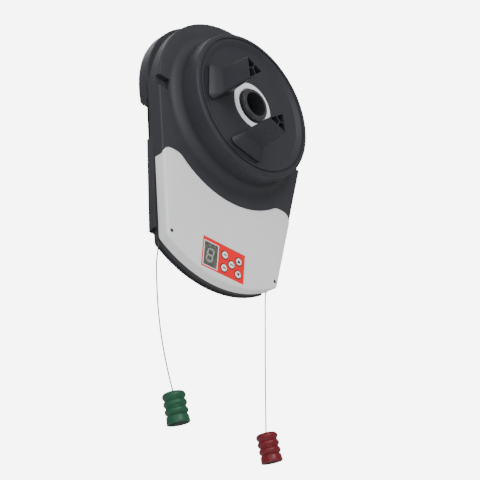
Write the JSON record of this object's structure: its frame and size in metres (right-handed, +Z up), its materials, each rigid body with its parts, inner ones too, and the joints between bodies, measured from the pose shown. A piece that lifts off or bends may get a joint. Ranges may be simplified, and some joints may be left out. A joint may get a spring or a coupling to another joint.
{
  "type": "roller shutter opener",
  "caption": "Roller shutter opener with a slide-on axle sleeve, a fork drum, a key panel and two release cords with ribbed grips.",
  "frame": {"origin": "on the door axle's centre line, level with the rear face of the motor bulge", "axes": "+Z up, -Y out of the drum towards the door's curtain wheel, +X to the right as seen from the drum"},
  "size_m": [0.2835, 0.153, 0.6169],
  "materials": {
    "dark_casing": "satin",
    "pale_cover": "satin",
    "dark_drum": "satin",
    "red_panel": "satin",
    "white_plastic": "satin",
    "white_nylon": "satin",
    "window": "clear",
    "display_grey": "matte",
    "green_grip": "satin",
    "red_grip": "satin",
    "cord": "braided",
    "black_rubber": "matte",
    "black_sleeve": "satin",
    "plated_steel": "zinc plated",
    "zinc_casting": "as cast",
    "bearing_bronze": "sintered",
    "yellow_nylon": "satin",
    "motor_steel": "zinc plated",
    "core_steel": "lacquered",
    "winding": "taped",
    "board_green": "solder mask",
    "board_parts": "moulded",
    "switch_black": "moulded"
  },
  "bodies": {
    "casing": {"rear_housing": "dark_casing", "front_housing": "dark_casing", "lower_cover": "pale_cover", "cover_screws": "plated_steel", "housing_screws": "plated_steel", "key_panel": "red_panel", "window_frame": "white_plastic", "display_window": "window", "display_module": "display_grey", "key_switches": "switch_black", "control_board": "board_green", "board_parts": "board_parts", "board_screws": "plated_steel", "axle_sleeve": "black_sleeve", "sleeve_circlip": "plated_steel", "axle_collar": "plated_steel", "collar_screws": "black_sleeve", "cable_grommet": "black_rubber", "chassis_plate": "plated_steel", "chassis_screws": "plated_steel", "gearbox_case": "zinc_casting", "gearbox_cover": "plated_steel", "shaft_bushes": "bearing_bronze", "motor_can": "motor_steel", "motor_end_bell": "switch_black", "transformer_core": "core_steel", "transformer_coil": "winding", "cord_bushes": "black_rubber"},
    "drum": {"drive_drum": "dark_drum", "ring_gear": "white_nylon", "drum_bush": "white_nylon", "left_fork": "dark_drum", "lower_fork": "dark_drum", "fork_screws": "plated_steel"},
    "shaft": {"pinion_shaft": "plated_steel", "drive_pinion": "zinc_casting"},
    "wheel": {"worm_wheel": "yellow_nylon"},
    "worm_body": {"worm": "plated_steel"},
    "clutch": {"clutch_collar": "plated_steel"},
    "shifter": {"shift_fork": "plated_steel"},
    "cam": {"release_cam": "plated_steel"},
    "rocker": {"release_rocker": "yellow_nylon"},
    "link": {"release_link": "plated_steel"},
    "green_pull_body": {"green_inner_cord": "cord", "green_cord": "cord", "green_grip": "green_grip"},
    "red_pull_body": {"red_inner_cord": "cord", "red_cord": "cord", "red_grip": "red_grip"},
    "set_key": {"set_button": "white_plastic"},
    "close_key": {"close_button": "white_plastic"},
    "stop_key": {"stop_button": "white_plastic"},
    "up_key": {"up_button": "white_plastic"},
    "down_key": {"down_button": "white_plastic"}
  },
  "joints": [
    {"name": "drum_spin", "type": "hinge", "parent": "casing", "child": "drum", "pos_m": [0, 0, 0], "axis": [0, -1, 0], "continuous": true},
    {"name": "shaft_spin", "type": "hinge", "parent": "casing", "child": "shaft", "pos_m": [-0.03054, 0, 0.0685], "axis": [0, -1, 0], "continuous": true},
    {"name": "wheel_spin", "type": "hinge", "parent": "casing", "child": "wheel", "pos_m": [-0.03054, 0, 0.0685], "axis": [0, -1, 0], "continuous": true},
    {"name": "worm_spin", "type": "hinge", "parent": "casing", "child": "worm_body", "pos_m": [-0.03054, -0.024, 0.038], "axis": [1, 0, 0], "continuous": true},
    {"name": "clutch_slide", "type": "slide", "parent": "shaft", "child": "clutch", "axis": [0, -1, 0], "range_m": [0, 0.00301]},
    {"name": "shift_slide", "type": "slide", "parent": "casing", "child": "shifter", "axis": [0, -1, 0], "range_m": [0, 0.00301]},
    {"name": "cam_turn", "type": "hinge", "parent": "casing", "child": "cam", "pos_m": [-0.03054, -0.0385, 0.0685], "axis": [0, 1, 0], "range_deg": [0, 18]},
    {"name": "rocker_turn", "type": "hinge", "parent": "casing", "child": "rocker", "pos_m": [0, -0.027, -0.15], "axis": [0, 1, 0], "range_deg": [0, 18]},
    {"name": "link_turn", "type": "hinge", "parent": "rocker", "child": "link", "pos_m": [0.06124, -0.0298, -0.1403], "axis": [0, 1, 0], "range_deg": [-18, 0]},
    {"name": "green_pull", "type": "slide", "parent": "casing", "child": "green_pull_body", "axis": [0, 0, -1], "range_m": [-0.0301, 0]},
    {"name": "red_pull", "type": "slide", "parent": "casing", "child": "red_pull_body", "axis": [0, 0, -1], "range_m": [0, 0.0301]},
    {"name": "set_press", "type": "slide", "parent": "casing", "child": "set_key", "axis": [0, 1, 0], "range_m": [0, 0.0006], "stiffness_N_per_m": 400},
    {"name": "close_press", "type": "slide", "parent": "casing", "child": "close_key", "axis": [0, 1, 0], "range_m": [0, 0.0006], "stiffness_N_per_m": 400},
    {"name": "stop_press", "type": "slide", "parent": "casing", "child": "stop_key", "axis": [0, 1, 0], "range_m": [0, 0.0006], "stiffness_N_per_m": 400},
    {"name": "up_press", "type": "slide", "parent": "casing", "child": "up_key", "axis": [0, 1, 0], "range_m": [0, 0.0006], "stiffness_N_per_m": 400},
    {"name": "down_press", "type": "slide", "parent": "casing", "child": "down_key", "axis": [0, 1, 0], "range_m": [0, 0.0006], "stiffness_N_per_m": 400}
  ],
  "couplings": [
    {"joint": "shaft_spin", "follows": "drum_spin", "ratio": 6},
    {"joint": "wheel_spin", "follows": "drum_spin", "ratio": 6},
    {"joint": "worm_spin", "follows": "drum_spin", "ratio": 90},
    {"joint": "clutch_slide", "follows": "rocker_turn", "m_per_rad": 0.009549},
    {"joint": "shift_slide", "follows": "rocker_turn", "m_per_rad": 0.009549},
    {"joint": "cam_turn", "follows": "rocker_turn", "ratio": 1},
    {"joint": "link_turn", "follows": "rocker_turn", "ratio": -1},
    {"joint": "green_pull", "follows": "rocker_turn", "m_per_rad": -0.0957},
    {"joint": "red_pull", "follows": "rocker_turn", "m_per_rad": 0.0957}
  ]
}
